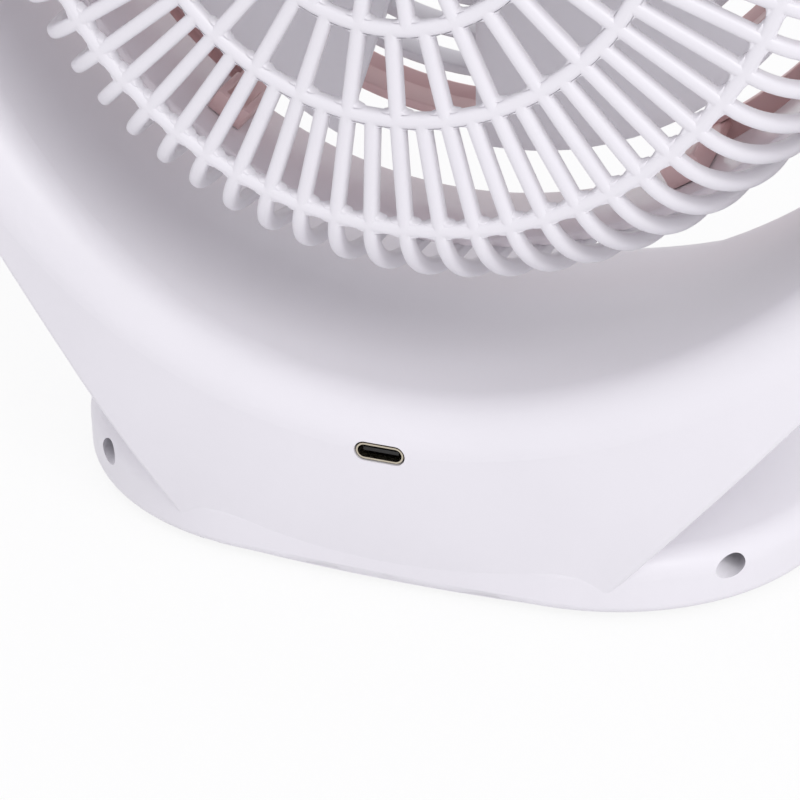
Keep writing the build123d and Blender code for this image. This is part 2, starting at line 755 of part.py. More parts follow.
def cage_section(depth):
    points = [
        (-BUILD_REACH, RING_THREE_Y),
        (RING_THREE_R, RING_THREE_Y),
        (RING_TWO_R, RING_TWO_Y),
        (RING_ONE_R, RING_ONE_Y),
        (SHOULDER_LINE_R, SHOULDER_LINE_Y),
    ]
    turn = radians(FULL_TURN / 16)
    centre_x = CAGE_R - SHOULDER_ARC_R
    middle = (centre_x + SHOULDER_ARC_R * cos(turn), SHOULDER_END_Y + SHOULDER_ARC_R * sin(turn))
    end = (CAGE_R, SHOULDER_END_Y)
    low = (CAGE_R, -BUILD_REACH)
    edges = [
        Polyline(*points),
        ThreePointArc(points[-1], middle, end),
        Line(end, low),
        Line(low, (-BUILD_REACH, -BUILD_REACH)),
        Line((-BUILD_REACH, -BUILD_REACH), points[0]),
    ]
    face = make_face(edges)
    return offset(face, -depth) if depth else face


def cage_rib(low_r, high_r, low_y):
    band = cage_section(0) - cage_section(RIB_DEPTH)
    high_y = RING_THREE_Y + OVERRUN
    window = Pos((low_r + high_r) / 2, (low_y + high_y) / 2) * Rectangle(high_r - low_r, high_y - low_y)
    return extrude(band & window, RIB_WIDTH / 2, both=True)


def cage_ring(radius, depth_y):
    face = RectangleRounded(RING_WIDTH, RING_DEPTH, RING_EDGE_R)
    return revolve(Pos(radius, depth_y - RING_DEPTH / 2) * face, Axis.Y, FULL_TURN)


def make_rear_cage():
    pieces = [cage_ring(RING_ONE_R, RING_ONE_Y), cage_ring(RING_TWO_R, RING_TWO_Y)]
    pieces.append(cage_ring(RING_THREE_R, RING_THREE_Y))
    pieces.append(rod_y(CAGE_CENTRE_R, END_PLATE_REAR_Y, RING_THREE_Y))
    pieces.append(tube_y(CAGE_R, CAGE_RIM_INNER_R, CAGE_RIM_FRONT_Y, CAGE_RIM_REAR_Y))
    outer = cage_rib(RING_TWO_R, CAGE_R + OVERRUN, CAGE_RIM_REAR_Y - OVERRUN)
    middle = cage_rib(RING_THREE_R, RING_TWO_R, END_PLATE_FRONT_Y)
    inner = cage_rib(CAGE_CENTRE_R - OVERRUN, RING_THREE_R, END_PLATE_FRONT_Y)
    pieces += around(outer, OUTER_RIBS, QUARTER_TURN)
    pieces += around(middle, MIDDLE_RIBS, QUARTER_TURN + FULL_TURN / OUTER_RIBS)
    pieces += around(inner, INNER_RIBS, QUARTER_TURN)
    hub = Pos(0, TILT_Y, 0) * rod_x(PIVOT_HUB_R, CAGE_RIM_INNER_R, PIVOT_HUB_END_X)
    pieces += both_sides(hub)
    cage = merged(pieces)
    cage -= rod_y(CAGE_RIM_INNER_R, CAGE_RIM_FRONT_Y - OVERRUN, SHOULDER_END_Y)
    pin = Pos(0, TILT_Y, 0) * rod_x(PIVOT_PIN_R, PIVOT_PIN_START_X, PIVOT_HUB_END_X + OVERRUN)
    for shape in both_sides(pin):
        cage -= shape
    for place in motor_screw_places():
        cage -= place * rod(MOTOR_SCREW_R, -CENTRE_THICKNESS - OVERRUN, OVERRUN)
        cage -= place * rod(MOTOR_SCREW_HEAD_R, 0, CENTRE_THICKNESS)
    return HEAD * cage


# Motor

def motor_screw_places():
    seat = RING_THREE_Y - MOTOR_SCREW_HEAD_LENGTH
    step = FULL_TURN / MOTOR_SCREW_COUNT
    return [Rot(0, step * index, 0) * Pos(0, seat, MOTOR_SCREW_CIRCLE_R) * Rot(-QUARTER_TURN, 0, 0)
            for index in range(MOTOR_SCREW_COUNT)]


def make_motor_screws():
    length = CENTRE_THICKNESS - MOTOR_SCREW_HEAD_LENGTH + END_PLATE_THICKNESS
    one = screw(MOTOR_SCREW_HEAD_R, MOTOR_SCREW_HEAD_LENGTH, MOTOR_SCREW_R, length)
    return HEAD * group([place * one for place in motor_screw_places()])


def make_motor_can():
    can = rod_y(MOTOR_R, MOTOR_FRONT_Y, END_PLATE_FRONT_Y)
    can -= rod_y(MOTOR_R - MOTOR_WALL, MOTOR_FRONT_Y + MOTOR_FRONT_WALL, END_PLATE_FRONT_Y + OVERRUN)
    can -= rod_y(MOTOR_BUSH_R, MOTOR_FRONT_Y - OVERRUN, END_PLATE_FRONT_Y)
    return HEAD * can


def make_motor_end_plate():
    plate = tube_y(MOTOR_R, MOTOR_BUSH_R, END_PLATE_FRONT_Y, END_PLATE_REAR_Y)
    for place in motor_screw_places():
        plate -= place * rod(MOTOR_SCREW_R, -CENTRE_THICKNESS - END_PLATE_THICKNESS, OVERRUN)
    return HEAD * plate


def make_motor_bushes():
    bore = MOTOR_SHAFT_R + MOTOR_RUNNING_GAP
    front = tube_y(MOTOR_BUSH_R, bore, MOTOR_FRONT_Y, MOTOR_FRONT_Y + MOTOR_BUSH_LENGTH)
    rear = tube_y(MOTOR_BUSH_R, bore, END_PLATE_REAR_Y - MOTOR_BUSH_LENGTH, END_PLATE_REAR_Y)
    return HEAD * group([front, rear])


def motor_middle_y():
    return (MOTOR_FRONT_Y + MOTOR_FRONT_WALL + END_PLATE_FRONT_Y) / 2


def make_motor_magnets():
    middle = motor_middle_y()
    half = MAGNET_LENGTH / 2
    ring = tube_y(MOTOR_R - MOTOR_WALL, MAGNET_INNER_R, middle - half, middle + half)
    gap = MAGNET_SPLIT / 2
    split = block((-gap, middle - MAGNET_LENGTH, -MOTOR_R), (gap, middle + MAGNET_LENGTH, MOTOR_R))
    return HEAD * (ring - split)


def make_armature():
    middle = motor_middle_y()
    half = ARMATURE_LENGTH / 2
    core = tube_y(ARMATURE_R, MOTOR_SHAFT_R, middle - half, middle + half)
    slot = block((-ARMATURE_SLOT_WIDTH / 2, middle - ARMATURE_LENGTH, ARMATURE_R - ARMATURE_SLOT_DEPTH),
                 (ARMATURE_SLOT_WIDTH / 2, middle + ARMATURE_LENGTH, ARMATURE_R + OVERRUN))
    for shape in around(slot, ARMATURE_SLOTS):
        core -= shape
    return HEAD * core


def make_motor_shaft():
    return HEAD * rod_y(MOTOR_SHAFT_R, MOTOR_SHAFT_FRONT_Y, END_PLATE_REAR_Y - PIVOT_FACE_GAP)


# Fan blades

def blade():
    sections = []
    for radius, chord, pitch in ((BLADE_ROOT_R, BLADE_ROOT_CHORD, BLADE_ROOT_PITCH),
                                 (BLADE_LOFT_R, BLADE_TIP_CHORD, BLADE_TIP_PITCH)):
        place = Plane(origin=(radius, BLADE_MID_Y, 0), x_dir=(0, 0, 1), z_dir=(1, 0, 0)) * Rot(0, 0, pitch)
        sections.append(place * Rectangle(chord, BLADE_THICKNESS))
    return loft(sections) & rod_y(BLADE_TIP_R, -BUILD_REACH, BUILD_REACH)


def make_fan_blades():
    hub = rod_y(HUB_R, HUB_FRONT_Y, HUB_REAR_Y)
    hub = fillet(hub.edges().group_by(Axis.Y)[0], HUB_EDGE_R)
    hub -= rod_y(HUB_R - HUB_WALL, HUB_FRONT_Y + HUB_WALL, HUB_REAR_Y + OVERRUN)
    blades = [shape - rod_y(HUB_R - HUB_WALL, -BUILD_REACH, BUILD_REACH)
              for shape in around(blade(), BLADE_COUNT, BLADE_TURN)]
    fan = merged([hub, rod_y(HUB_BOSS_R, HUB_FRONT_Y, HUB_BOSS_REAR_Y)] + blades)
    return HEAD * (fan - rod_y(MOTOR_SHAFT_R, -BUILD_REACH, BUILD_REACH))


def make_blade_nut():
    nut = rod_y(BLADE_NUT_R, HUB_FRONT_Y - BLADE_NUT_THICKNESS, HUB_FRONT_Y)
    return HEAD * (nut - rod_y(MOTOR_SHAFT_R, -BUILD_REACH, BUILD_REACH))


# Front grille

def make_cage_liner():
    return HEAD * tube_y(LINER_R, LINER_R - LINER_WALL, LINER_FRONT_Y, LINER_REAR_Y)


def grille_band():
    section = Polyline(
        (BAND_OUTER_R, GRILLE_FRONT_Y),
        (BAND_OUTER_R, BAND_REAR_Y),
        (BAND_INNER_R, BAND_REAR_Y),
        (BAND_INNER_R, BAND_LIP_Y),
        (BAND_LIP_R, GRILLE_FRONT_Y),
        close=True,
    )
    return revolve(make_face(section), Axis.Y, FULL_TURN)


def grille_wings():
    rim = rod_y(GRILLE_R, WING_FRONT_Y, WING_REAR_Y)
    rim = fillet(rim.edges().group_by(Axis.Y)[0], WING_EDGE_R)
    rim -= rod_y(GRILLE_R - WING_WALL, WING_FRONT_Y + WING_THICKNESS, WING_REAR_Y + OVERRUN)
    rim -= rod_y(WING_INNER_R, -BUILD_REACH, BUILD_REACH)
    reach_x = BUILD_REACH * cos(radians(WING_SPREAD))
    reach_z = BUILD_REACH * sin(radians(WING_SPREAD))
    wedge = make_face(Polyline((0, 0), (reach_x, -reach_z), (-reach_x, -reach_z), close=True))
    wedge = extrude(Plane.XZ * wedge, BUILD_REACH, both=True)
    return rim - wedge - Rot(0, HALF_TURN, 0) * wedge


def grille_spoke():
    half = SPOKE_WIDTH / 2
    return block((BAND_OUTER_R - OVERRUN, WING_FRONT_Y, -half),
                 (WING_INNER_R + OVERRUN, WING_FRONT_Y + SPOKE_DEPTH, half))


def grille_clip():
    half = CLIP_WIDTH / 2
    inner = half - CLIP_WALL
    low_r = CLIP_R - CLIP_DEPTH
    tongue = block((CLIP_R - CLIP_WALL, WING_FRONT_Y, -half), (CLIP_R, CLIP_REAR_Y, half))
    frame = block((low_r, CLIP_FRONT_Y, -half), (CLIP_R, CLIP_REAR_Y, half))
    frame -= block((low_r - OVERRUN, CLIP_FRONT_Y - OVERRUN, -inner),
                   (CLIP_R - CLIP_WALL, CLIP_REAR_Y - CLIP_WALL, inner))
    return tongue + frame


def on_both_wings(shape, turns):
    return [Rot(0, side + turn, 0) * shape for side in (0, HALF_TURN) for turn in turns]


def make_front_grille():
    pieces = [grille_band(), grille_wings()]
    pieces += on_both_wings(grille_spoke(), (-SPOKE_SPREAD, 0, SPOKE_SPREAD))
    pieces += on_both_wings(grille_clip(), (-CLIP_SPREAD, CLIP_SPREAD))
    return HEAD * merged(pieces)


def make_grille_insert():
    hub = rod_y(GRILLE_HUB_R, GRILLE_FRONT_Y, INSERT_REAR_Y)
    hub -= rod_y(GRILLE_HUB_R - GRILLE_HUB_WALL, GRILLE_FRONT_Y + GRILLE_HUB_WALL, INSERT_REAR_Y + OVERRUN)
    hub -= rod_y(GRILLE_CAP_R, GRILLE_FRONT_Y - OVERRUN, GRILLE_FRONT_Y + GRILLE_CAP_SINK)
    pieces = [hub]
    for index in range(INSERT_RING_COUNT):
        radius = INSERT_RING_R - INSERT_RING_PITCH * index
        pieces.append(tube_y(radius, radius - INSERT_RING_WALL, GRILLE_FRONT_Y, INSERT_REAR_Y))
    half = INSERT_SPOKE_WIDTH / 2
    spoke = block((GRILLE_HUB_R - OVERRUN, BAND_LIP_Y, -half),
                  (BAND_INNER_R - INSERT_FIT_GAP, INSERT_REAR_Y, half))
    pieces += around(spoke, INSERT_SPOKES, HALF_TURN / INSERT_SPOKES)
    return HEAD * merged(pieces)


def make_grille_cap():
    cap = rod_y(GRILLE_CAP_R, GRILLE_FRONT_Y - GRILLE_CAP_PROUD, GRILLE_FRONT_Y + GRILLE_CAP_SINK)
    return HEAD * fillet(cap.edges().group_by(Axis.Y)[0], GRILLE_CAP_EDGE_R)


def main():
    os.makedirs("parts", exist_ok=True)
    outer = housing(0)
    hollow = outer - housing(WALL)
    parts = {
        "rear_shell": make_rear_shell(hollow, outer),
        "front_shell": make_front_shell(hollow, outer),
        "shell_screws": make_shell_screws(),
        "base_plate": make_base_plate(),
        "plate_screws": make_plate_screws(),
        "rubber_feet": make_rubber_feet(),
        "battery_cells": make_battery_cells(),
        "battery_tray": make_battery_tray(),
        "main_board": make_main_board(),
        "board_screws": make_board_screws(),
        "socket_shell": make_socket_shell(),
        "socket_insert": make_socket_insert(),
        "speed_encoder": make_encoder(),
        "encoder_nut": make_encoder_nut(),
        "encoder_shaft": make_encoder_shaft(),
        "speed_dial": make_speed_dial(),
        "dial_pointer": make_dial_pointer(),
        "charge_lights": make_charge_lights(),
        "pivot_bushes": make_pivot_bushes(),
        "pivot_washers": make_pivot_washers(),
        "pivot_pins": make_pivot_pins(),
        "pivot_clips": make_pivot_clips(),
        "rear_cage": make_rear_cage(),
        "motor_screws": make_motor_screws(),
        "motor_can": make_motor_can(),
        "motor_end_plate": make_motor_end_plate(),
        "motor_bushes": make_motor_bushes(),
        "motor_magnets": make_motor_magnets(),
        "armature": make_armature(),
        "motor_shaft": make_motor_shaft(),
        "fan_blades": make_fan_blades(),
        "blade_nut": make_blade_nut(),
        "cage_liner": make_cage_liner(),
        "front_grille": make_front_grille(),
        "grille_insert": make_grille_insert(),
        "grille_cap": make_grille_cap(),
    }
    for name, shape in parts.items():
        export_step(shape, f"parts/{name}.step")


main()
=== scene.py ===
import json
from math import cos, hypot, pi, radians, sin, sqrt

import bmesh
import bpy
from mathutils import Matrix, Vector


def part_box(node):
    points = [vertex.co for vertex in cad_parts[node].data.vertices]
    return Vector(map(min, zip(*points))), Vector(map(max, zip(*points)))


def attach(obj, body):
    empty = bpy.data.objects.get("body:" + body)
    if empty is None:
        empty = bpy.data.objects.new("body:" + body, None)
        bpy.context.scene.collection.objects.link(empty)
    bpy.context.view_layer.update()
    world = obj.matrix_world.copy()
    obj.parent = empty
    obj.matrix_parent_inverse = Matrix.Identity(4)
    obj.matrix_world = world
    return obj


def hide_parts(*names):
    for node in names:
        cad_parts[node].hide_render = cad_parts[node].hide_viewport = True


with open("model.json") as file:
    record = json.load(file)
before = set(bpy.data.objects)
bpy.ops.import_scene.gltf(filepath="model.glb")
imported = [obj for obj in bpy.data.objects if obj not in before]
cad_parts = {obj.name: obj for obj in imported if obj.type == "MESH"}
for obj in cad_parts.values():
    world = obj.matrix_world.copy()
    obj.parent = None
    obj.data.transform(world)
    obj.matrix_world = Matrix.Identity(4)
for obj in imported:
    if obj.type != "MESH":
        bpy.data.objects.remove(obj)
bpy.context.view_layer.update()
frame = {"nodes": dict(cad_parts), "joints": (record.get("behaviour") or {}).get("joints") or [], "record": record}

# Rechargeable desk fan. Lengths are in metres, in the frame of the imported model.

NODES = frame["nodes"]
JOINTS = {joint["name"]: joint for joint in frame["joints"]}

# Fan axis and cage, read from the frame
CAGE_LOW, CAGE_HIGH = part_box("rear_cage")
AXIS_Z = (CAGE_LOW.z + CAGE_HIGH.z) / 2
CAGE_R = (CAGE_HIGH.z - CAGE_LOW.z) / 2
CAGE_FRONT_Y = CAGE_LOW.y
CAGE_REAR_Y = CAGE_HIGH.y
HUB_END_X = CAGE_HIGH.x
TILT_Y = JOINTS["head_tilt"]["pos_m"][1]

# Edges and mesh fineness
SOFT_EDGE_R = 0.0006
CORNER_STEPS = 4
QUARTER_TURNS = [step / CORNER_STEPS * pi / 2 for step in range(CORNER_STEPS + 1)]
RING_STEPS = 264
ROUND_STEPS = 64
SMOOTH_ANGLE = radians(32)


# Mesh helpers

def new_object(name, data):
    made = bpy.data.objects.new(name, data)
    bpy.context.scene.collection.objects.link(made)
    return made


def mesh_object(name, vertices, faces):
    """A mesh with its faces turned outwards."""
    mesh = bpy.data.meshes.new(name)
    mesh.from_pydata([tuple(v) for v in vertices], [], faces)
    mesh.update()
    made = bmesh.new()
    made.from_mesh(mesh)
    bmesh.ops.recalc_face_normals(made, faces=made.faces)
    made.to_mesh(mesh)
    made.free()
    return new_object(name, mesh)


def skin(name, rows, closed=False):
    """A skin over rows of points: the last row joins the first, or else both ends are capped."""
    count = len(rows[0])
    vertices = [point for row in rows for point in row]
    faces = []
    for r in range(len(rows) if closed else len(rows) - 1):
        low = r * count
        high = (r + 1) % len(rows) * count
        for c in range(count):
            d = (c + 1) % count
            faces.append((low + c, low + d, high + d, high + c))
    if not closed:
        faces.append(tuple(reversed(range(count))))
        faces.append(tuple(range(len(vertices) - count, len(vertices))))
    return mesh_object(name, vertices, faces)


def smooth(piece):
    piece.data.shade_smooth()
    piece.data.set_sharp_from_angle(angle=SMOOTH_ANGLE)
    return piece


def polar(radius, y, turn):
    """A point at a radius and a turn about the fan axis."""
    return Vector((radius * cos(turn), y, AXIS_Z + radius * sin(turn)))


def revolve(name, outline, steps=RING_STEPS):
    """Turns a closed outline of (radius, y) points about the fan axis."""
    turns = [2 * pi * step / steps for step in range(steps)]
    return skin(name, [[polar(r, y, turn) for r, y in outline] for turn in turns], closed=True)


def spin_solid(name, outline):
    """Turns an open outline of (radius, y) points, with both ends capped, about the fan axis."""
    turns = [2 * pi * step / ROUND_STEPS for step in range(ROUND_STEPS)]
    return skin(name, [[polar(r, y, turn) for turn in turns] for r, y in outline])


def cylinder(name, radius, front, rear):
    return spin_solid(name, [(radius, front), (radius, rear)])


def rounded_section(width, height, edge):
    """Outline of a rounded rectangle about its centre."""
    edge = min(edge, width / 2, height / 2)
    half_w = width / 2 - edge
    half_h = height / 2 - edge
    points = []
    for quarter, (sx, sy) in enumerate(((1, 1), (-1, 1), (-1, -1), (1, -1))):
        for step in range(CORNER_STEPS + 1):
            turn = (quarter + step / CORNER_STEPS) * pi / 2
            points.append((sx * half_w + edge * cos(turn), sy * half_h + edge * sin(turn)))
    return points


def ring_outline(inner, outer, front, rear, edge):
    """Outline of a ring's section, as (radius, y) points."""
    section = rounded_section(outer - inner, rear - front, edge)
    return [((inner + outer) / 2 + across, (front + rear) / 2 + along) for across, along in section]


def rounded_disc(radius, low, high, edge_low, edge_high):
    """Outline of a disc, from its low face to its high face, with rounded edges."""
    points = []
    for turn in QUARTER_TURNS:
        points.append((radius - edge_low * (1 - sin(turn)), low + edge_low * (1 - cos(turn))))
    for turn in QUARTER_TURNS:
        points.append((radius - edge_high * (1 - cos(turn)), high - edge_high * (1 - sin(turn))))
    return points


def turned(piece, matrix):
    piece.data.transform(matrix)
    return piece


def about_axis(turn):
    centre = Vector((0, 0, AXIS_Z))
    return Matrix.Translation(centre) @ Matrix.Rotation(turn, 4, "Y") @ Matrix.Translation(-centre)


def copies_around(first, turns):
    """Copies of a piece, turned about the fan axis, in place of the piece itself."""
    made = []
    for index, turn in enumerate(turns):
        copy = new_object(f"{first.name}_{index}", first.data.copy())
        made.append(turned(copy, about_axis(turn)))
    bpy.data.objects.remove(first)
    return made


def full_circle(count, first_turn=0.0):
    return [first_turn + 2 * pi * index / count for index in range(count)]


def combine(base, others, operation):
    """Joins the other pieces to the base, or cuts them from it, and leaves one clean mesh."""
    group = bpy.data.collections.new(base.name + "_tools")
    for other in others:
        group.objects.link(other)
    change = base.modifiers.new("combine", "BOOLEAN")
    change.operation = operation
    change.operand_type = "COLLECTION"
    change.collection = group
    change.solver = "MANIFOLD"
    bpy.context.view_layer.update()
    graph = bpy.context.evaluated_depsgraph_get()
    mesh = bpy.data.meshes.new_from_object(base.evaluated_get(graph))
    base.modifiers.clear()
    base.data = mesh
    for other in others:
        bpy.data.objects.remove(other)
    bpy.data.collections.remove(group)
    return base


# Rear cage

RING_THREE_R = 0.0295
RING_TWO_R = 0.0457
RING_TWO_Y = 0.0505
RING_ONE_R = 0.0663
RING_ONE_Y = 0.0488
RING_WIDTH = 0.0027
RING_DEPTH = 0.003
RING_EDGE_R = 0.0011
CAGE_RIM_REAR_Y = 0.008
CAGE_RIM_INNER_R = 0.0824
CAGE_CENTRE_R = 0.024
CAGE_CENTRE_THICKNESS = 0.0032
OUTER_RIBS = 66
MIDDLE_RIBS = 33
INNER_RIBS = 22
RIB_DEPTH = 0.0032
RIB_WIDTH = 0.0026
RIB_EDGE_R = 0.0011
RIB_SPACING = 0.002
RIB_FILLET_R = 0.0018
FILLET_SHARES = (1.0, 0.8, 0.6, 0.4, 0.25, 0.12, 0.0)
WEB_SINK = 0.00035
SHOULDER_STEPS = 20
PIVOT_HUB_R = 0.009
PIVOT_PIN_R = 0.003
PIVOT_PIN_START_X = 0.086
MOTOR_SCREW_COUNT = 3
MOTOR_SCREW_CIRCLE_R = 0.012
MOTOR_SCREW_SINK_R = 0.0026
MOTOR_SCREW_R = 0.0015
MOTOR_SCREW_SINK = 0.0014


def shoulder_points():
    """The outer line of a long rib, from ring two to the rim: straight, then a quarter ellipse."""
    path = [(RING_TWO_R, RING_TWO_Y)]
    for step in range(SHOULDER_STEPS + 1):
        turn = pi / 2 * (1 - step / SHOULDER_STEPS)
        path.append((RING_ONE_R + (CAGE_R - RING_ONE_R) * cos(turn),
                     CAGE_RIM_REAR_Y + (RING_ONE_Y - CAGE_RIM_REAR_Y) * sin(turn)))
    path.append((CAGE_R, CAGE_RIM_REAR_Y - SOFT_EDGE_R))
    return path


def path_length(path):
    return sum(hypot(b[0] - a[0], b[1] - a[1]) for a, b in zip(path, path[1:]))


def resample(path, places):
    """Points at rising distances along a path."""
    made = []
    run = 0.0
    index = 0
    for place in places:
        while index < len(path) - 2:
            step = hypot(path[index + 1][0] - path[index][0], path[index + 1][1] - path[index][1])
            if run + step >= place:
                break
            run += step
            index += 1
        a = Vector(path[index])
        b = Vector(path[index + 1])
        made.append(a + (b - a) * ((place - run) / (b - a).length))
    return made


def rib_rows(path, places, width_at, sink):
    """Sections of a rib at places along its path, sunk a little below its outer line."""
    points = resample(path, places)
    rows = []
    for index, (place, point) in enumerate(zip(places, points)):
        ahead = points[min(index + 1, len(points) - 1)] - points[max(index - 1, 0)]
        ahead.normalize()
        inward = Vector((ahead.y, -ahead.x))
        middle = point + inward * (RIB_DEPTH / 2)
        row = []
        for across, depth in rounded_section(width_at(place), RIB_DEPTH - 2 * sink, RIB_EDGE_R):
            radius = middle.x + inward.x * depth
            y = middle.y + inward.y * depth
            row.append(Vector((radius, y, AXIS_Z + across)))
        rows.append(row)
    return rows


def rib(name, path):
    """One rib along a path in the plane of radius and depth."""
    length = path_length(path)
    count = round(length / RIB_SPACING)
    places = [length * step / count for step in range(count + 1)]
    return skin(name, rib_rows(path, places, lambda place: RIB_WIDTH, 0.0))


def fillet_growth(distance):
    """How much wider a rib is on each side, at a distance from the ring that it runs into."""
    if distance >= RIB_FILLET_R:
        return 0.0
    rest = RIB_FILLET_R - max(distance, 0.0)
    return RIB_FILLET_R - sqrt(RIB_FILLET_R ** 2 - rest ** 2)


def web(name, path, joint):
    """The rounded corners between a rib and a ring that crosses it."""
    places = [joint - RING_WIDTH / 2 - RIB_FILLET_R * share for share in FILLET_SHARES]
    places += [joint + RING_WIDTH / 2 + RIB_FILLET_R * share for share in reversed(FILLET_SHARES)]
    length = path_length(path)
    places = [place for place in places if 0 <= place <= length]

    def width(place):
        return RIB_WIDTH - 2 * WEB_SINK + 2 * fillet_growth(abs(place - joint) - RING_WIDTH / 2)
    return skin(name, rib_rows(path, places, width, WEB_SINK))


def rib_set(name, path, joints, count, first_turn=0.0):
    """Ribs around the cage, with rounded corners at the given places along each."""
    made = copies_around(rib(f"{name}_rib", path), full_circle(count, first_turn))
    for joint in joints:
        made += copies_around(web(f"{name}_web", path, joint), full_circle(count, first_turn))
    return made


def cage_ribs():
    outer = shoulder_points()
    middle = [(RING_THREE_R, CAGE_REAR_Y), (RING_TWO_R, RING_TWO_Y)]
    inner = [(CAGE_CENTRE_R - SOFT_EDGE_R, CAGE_REAR_Y), (RING_THREE_R, CAGE_REAR_Y)]
    to_ring_one = hypot(RING_ONE_R - RING_TWO_R, RING_ONE_Y - RING_TWO_Y)
    made = rib_set("outer", outer, (0.0, to_ring_one), OUTER_RIBS)
    made += rib_set("middle", middle, (0.0, path_length(middle)), MIDDLE_RIBS, 2 * pi / OUTER_RIBS)
    made += rib_set("inner", inner, (path_length(inner),), INNER_RIBS)
    return made


def cage_ring(name, radius, rear_y):
    section = rounded_section(RING_WIDTH, RING_DEPTH, RING_EDGE_R)
    middle_y = rear_y - RING_DEPTH / 2
    return revolve(name, [(radius + across, middle_y + depth) for across, depth in section])


def across_axis(side):
    """Turns a piece made along the fan axis to lie along the tilt axis, on one side."""
    turn = Matrix.Rotation(-side * pi / 2, 4, "Z")
    return Matrix.Translation((0, TILT_Y, AXIS_Z)) @ turn @ Matrix.Translation((0, 0, -AXIS_Z))


def pivot_hub(name, side):
    profile = rounded_disc(PIVOT_HUB_R, CAGE_RIM_INNER_R, HUB_END_X, 0.0, SOFT_EDGE_R)
    return turned(spin_solid(name, profile), across_axis(side))


def cage_bores():
    """The holes of the motor screws and of the pivot pins."""
    seat = CAGE_REAR_Y - MOTOR_SCREW_SINK
    rear = CAGE_REAR_Y + MOTOR_SCREW_SINK
    low = CAGE_REAR_Y - 2 * CAGE_CENTRE_THICKNESS
    out = Matrix.Translation((0, 0, MOTOR_SCREW_CIRCLE_R))
    bores = []
    for name, radius, front in (("sink", MOTOR_SCREW_SINK_R, seat), ("bore", MOTOR_SCREW_R, low)):
        bore = turned(cylinder(name, radius, front, rear), out)
        bores += copies_around(bore, full_circle(MOTOR_SCREW_COUNT))
    pin_end = HUB_END_X + (HUB_END_X - PIVOT_PIN_START_X)
    for side in (-1, 1):
        pin = cylinder("pin", PIVOT_PIN_R, PIVOT_PIN_START_X, pin_end)
        bores.append(turned(pin, across_axis(side)))
    return bores


def make_rear_cage():
    rim = ring_outline(CAGE_RIM_INNER_R, CAGE_R, CAGE_FRONT_Y, CAGE_RIM_REAR_Y, SOFT_EDGE_R)
    base = revolve("rear_cage_mesh", rim)
    pieces = [cage_ring("ring_one", RING_ONE_R, RING_ONE_Y)]
    pieces.append(cage_ring("ring_two", RING_TWO_R, RING_TWO_Y))
    pieces.append(cage_ring("ring_three", RING_THREE_R, CAGE_REAR_Y))
    centre_front_y = CAGE_REAR_Y - CAGE_CENTRE_THICKNESS
    disc = rounded_disc(CAGE_CENTRE_R, centre_front_y, CAGE_REAR_Y, SOFT_EDGE_R, SOFT_EDGE_R)
    pieces.append(spin_solid("centre_disc", disc))
    pieces += cage_ribs()
    pieces += [pivot_hub("hub_right", 1), pivot_hub("hub_left", -1)]
    cage = combine(base, pieces, "UNION")
    return smooth(combine(cage, cage_bores(), "DIFFERENCE"))


# Liner, front grille and its insert

LINER_LOW, LINER_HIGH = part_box("cage_liner")
LINER_R = (LINER_HIGH.z - LINER_LOW.z) / 2
LINER_WALL = 0.0019
LINER_EDGE_R = 0.0006
GRILLE_LOW, GRILLE_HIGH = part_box("front_grille")
GRILLE_R = (GRILLE_HIGH.x - GRILLE_LOW.x) / 2
GRILLE_FRONT_Y = GRILLE_LOW.y
GRILLE_EDGE_R = 0.0004
BAND_OUTER_R = 0.0686
BAND_INNER_R = 0.0668
BAND_REAR_Y = -0.005
BAND_LIP_R = 0.0648
BAND_LIP_Y = -0.012
WING_SPREAD = radians(58)
WING_INNER_R = 0.078
WING_FRONT_Y = -0.013
WING_REAR_Y = -0.002
WING_THICKNESS = 0.0025
WING_WALL = 0.0022
WING_EDGE_R = 0.002
WING_STEPS = 96
SPOKE_SPREAD = radians(53)
SPOKE_WIDTH = 0.004
SPOKE_DEPTH = 0.004
CLIP_SPREAD = radians(56)
CLIP_R = 0.0802
CLIP_WIDTH = 0.0075
CLIP_DEPTH = 0.0045
CLIP_WALL = 0.0016
CLIP_FRONT_Y = 0.003
CLIP_REAR_Y = GRILLE_HIGH.y
CLIP_EDGE_STEPS = 2
INSERT_RING_R = 0.0605
INSERT_RING_PITCH = 0.007
INSERT_RING_COUNT = 6
INSERT_RING_WALL = 0.0018
INSERT_REAR_Y = -0.008
INSERT_SPOKES = 8
INSERT_SPOKE_WIDTH = 0.0018
INSERT_REACH_R = 0.0667
INSERT_HUB_R = 0.018
INSERT_HUB_WALL = 0.0025
CAP_R = 0.016
CAP_SINK = 0.0012


def bent_path(points, bend_r):
    """An open path of (radius, y) points, with a soft bend at each corner between its ends."""
    path = [points[0]]
    for before, corner, after in zip(points, points[1:], points[2:]):
        middle = Vector(corner)
        a = Vector(before) - middle
        b = Vector(after) - middle
        half = a.angle(b) / 2
        reach = min(bend_r * cos(half) / sin(half), a.length / 2, b.length / 2)
        start = middle + a.normalized() * reach
        end = middle + b.normalized() * reach
        for step in range(CORNER_STEPS + 1):
            t = step / CORNER_STEPS
            path.append(tuple(start * (1 - t) ** 2 + middle * 2 * t * (1 - t) + end * t ** 2))
    path.append(points[-1])
    return path


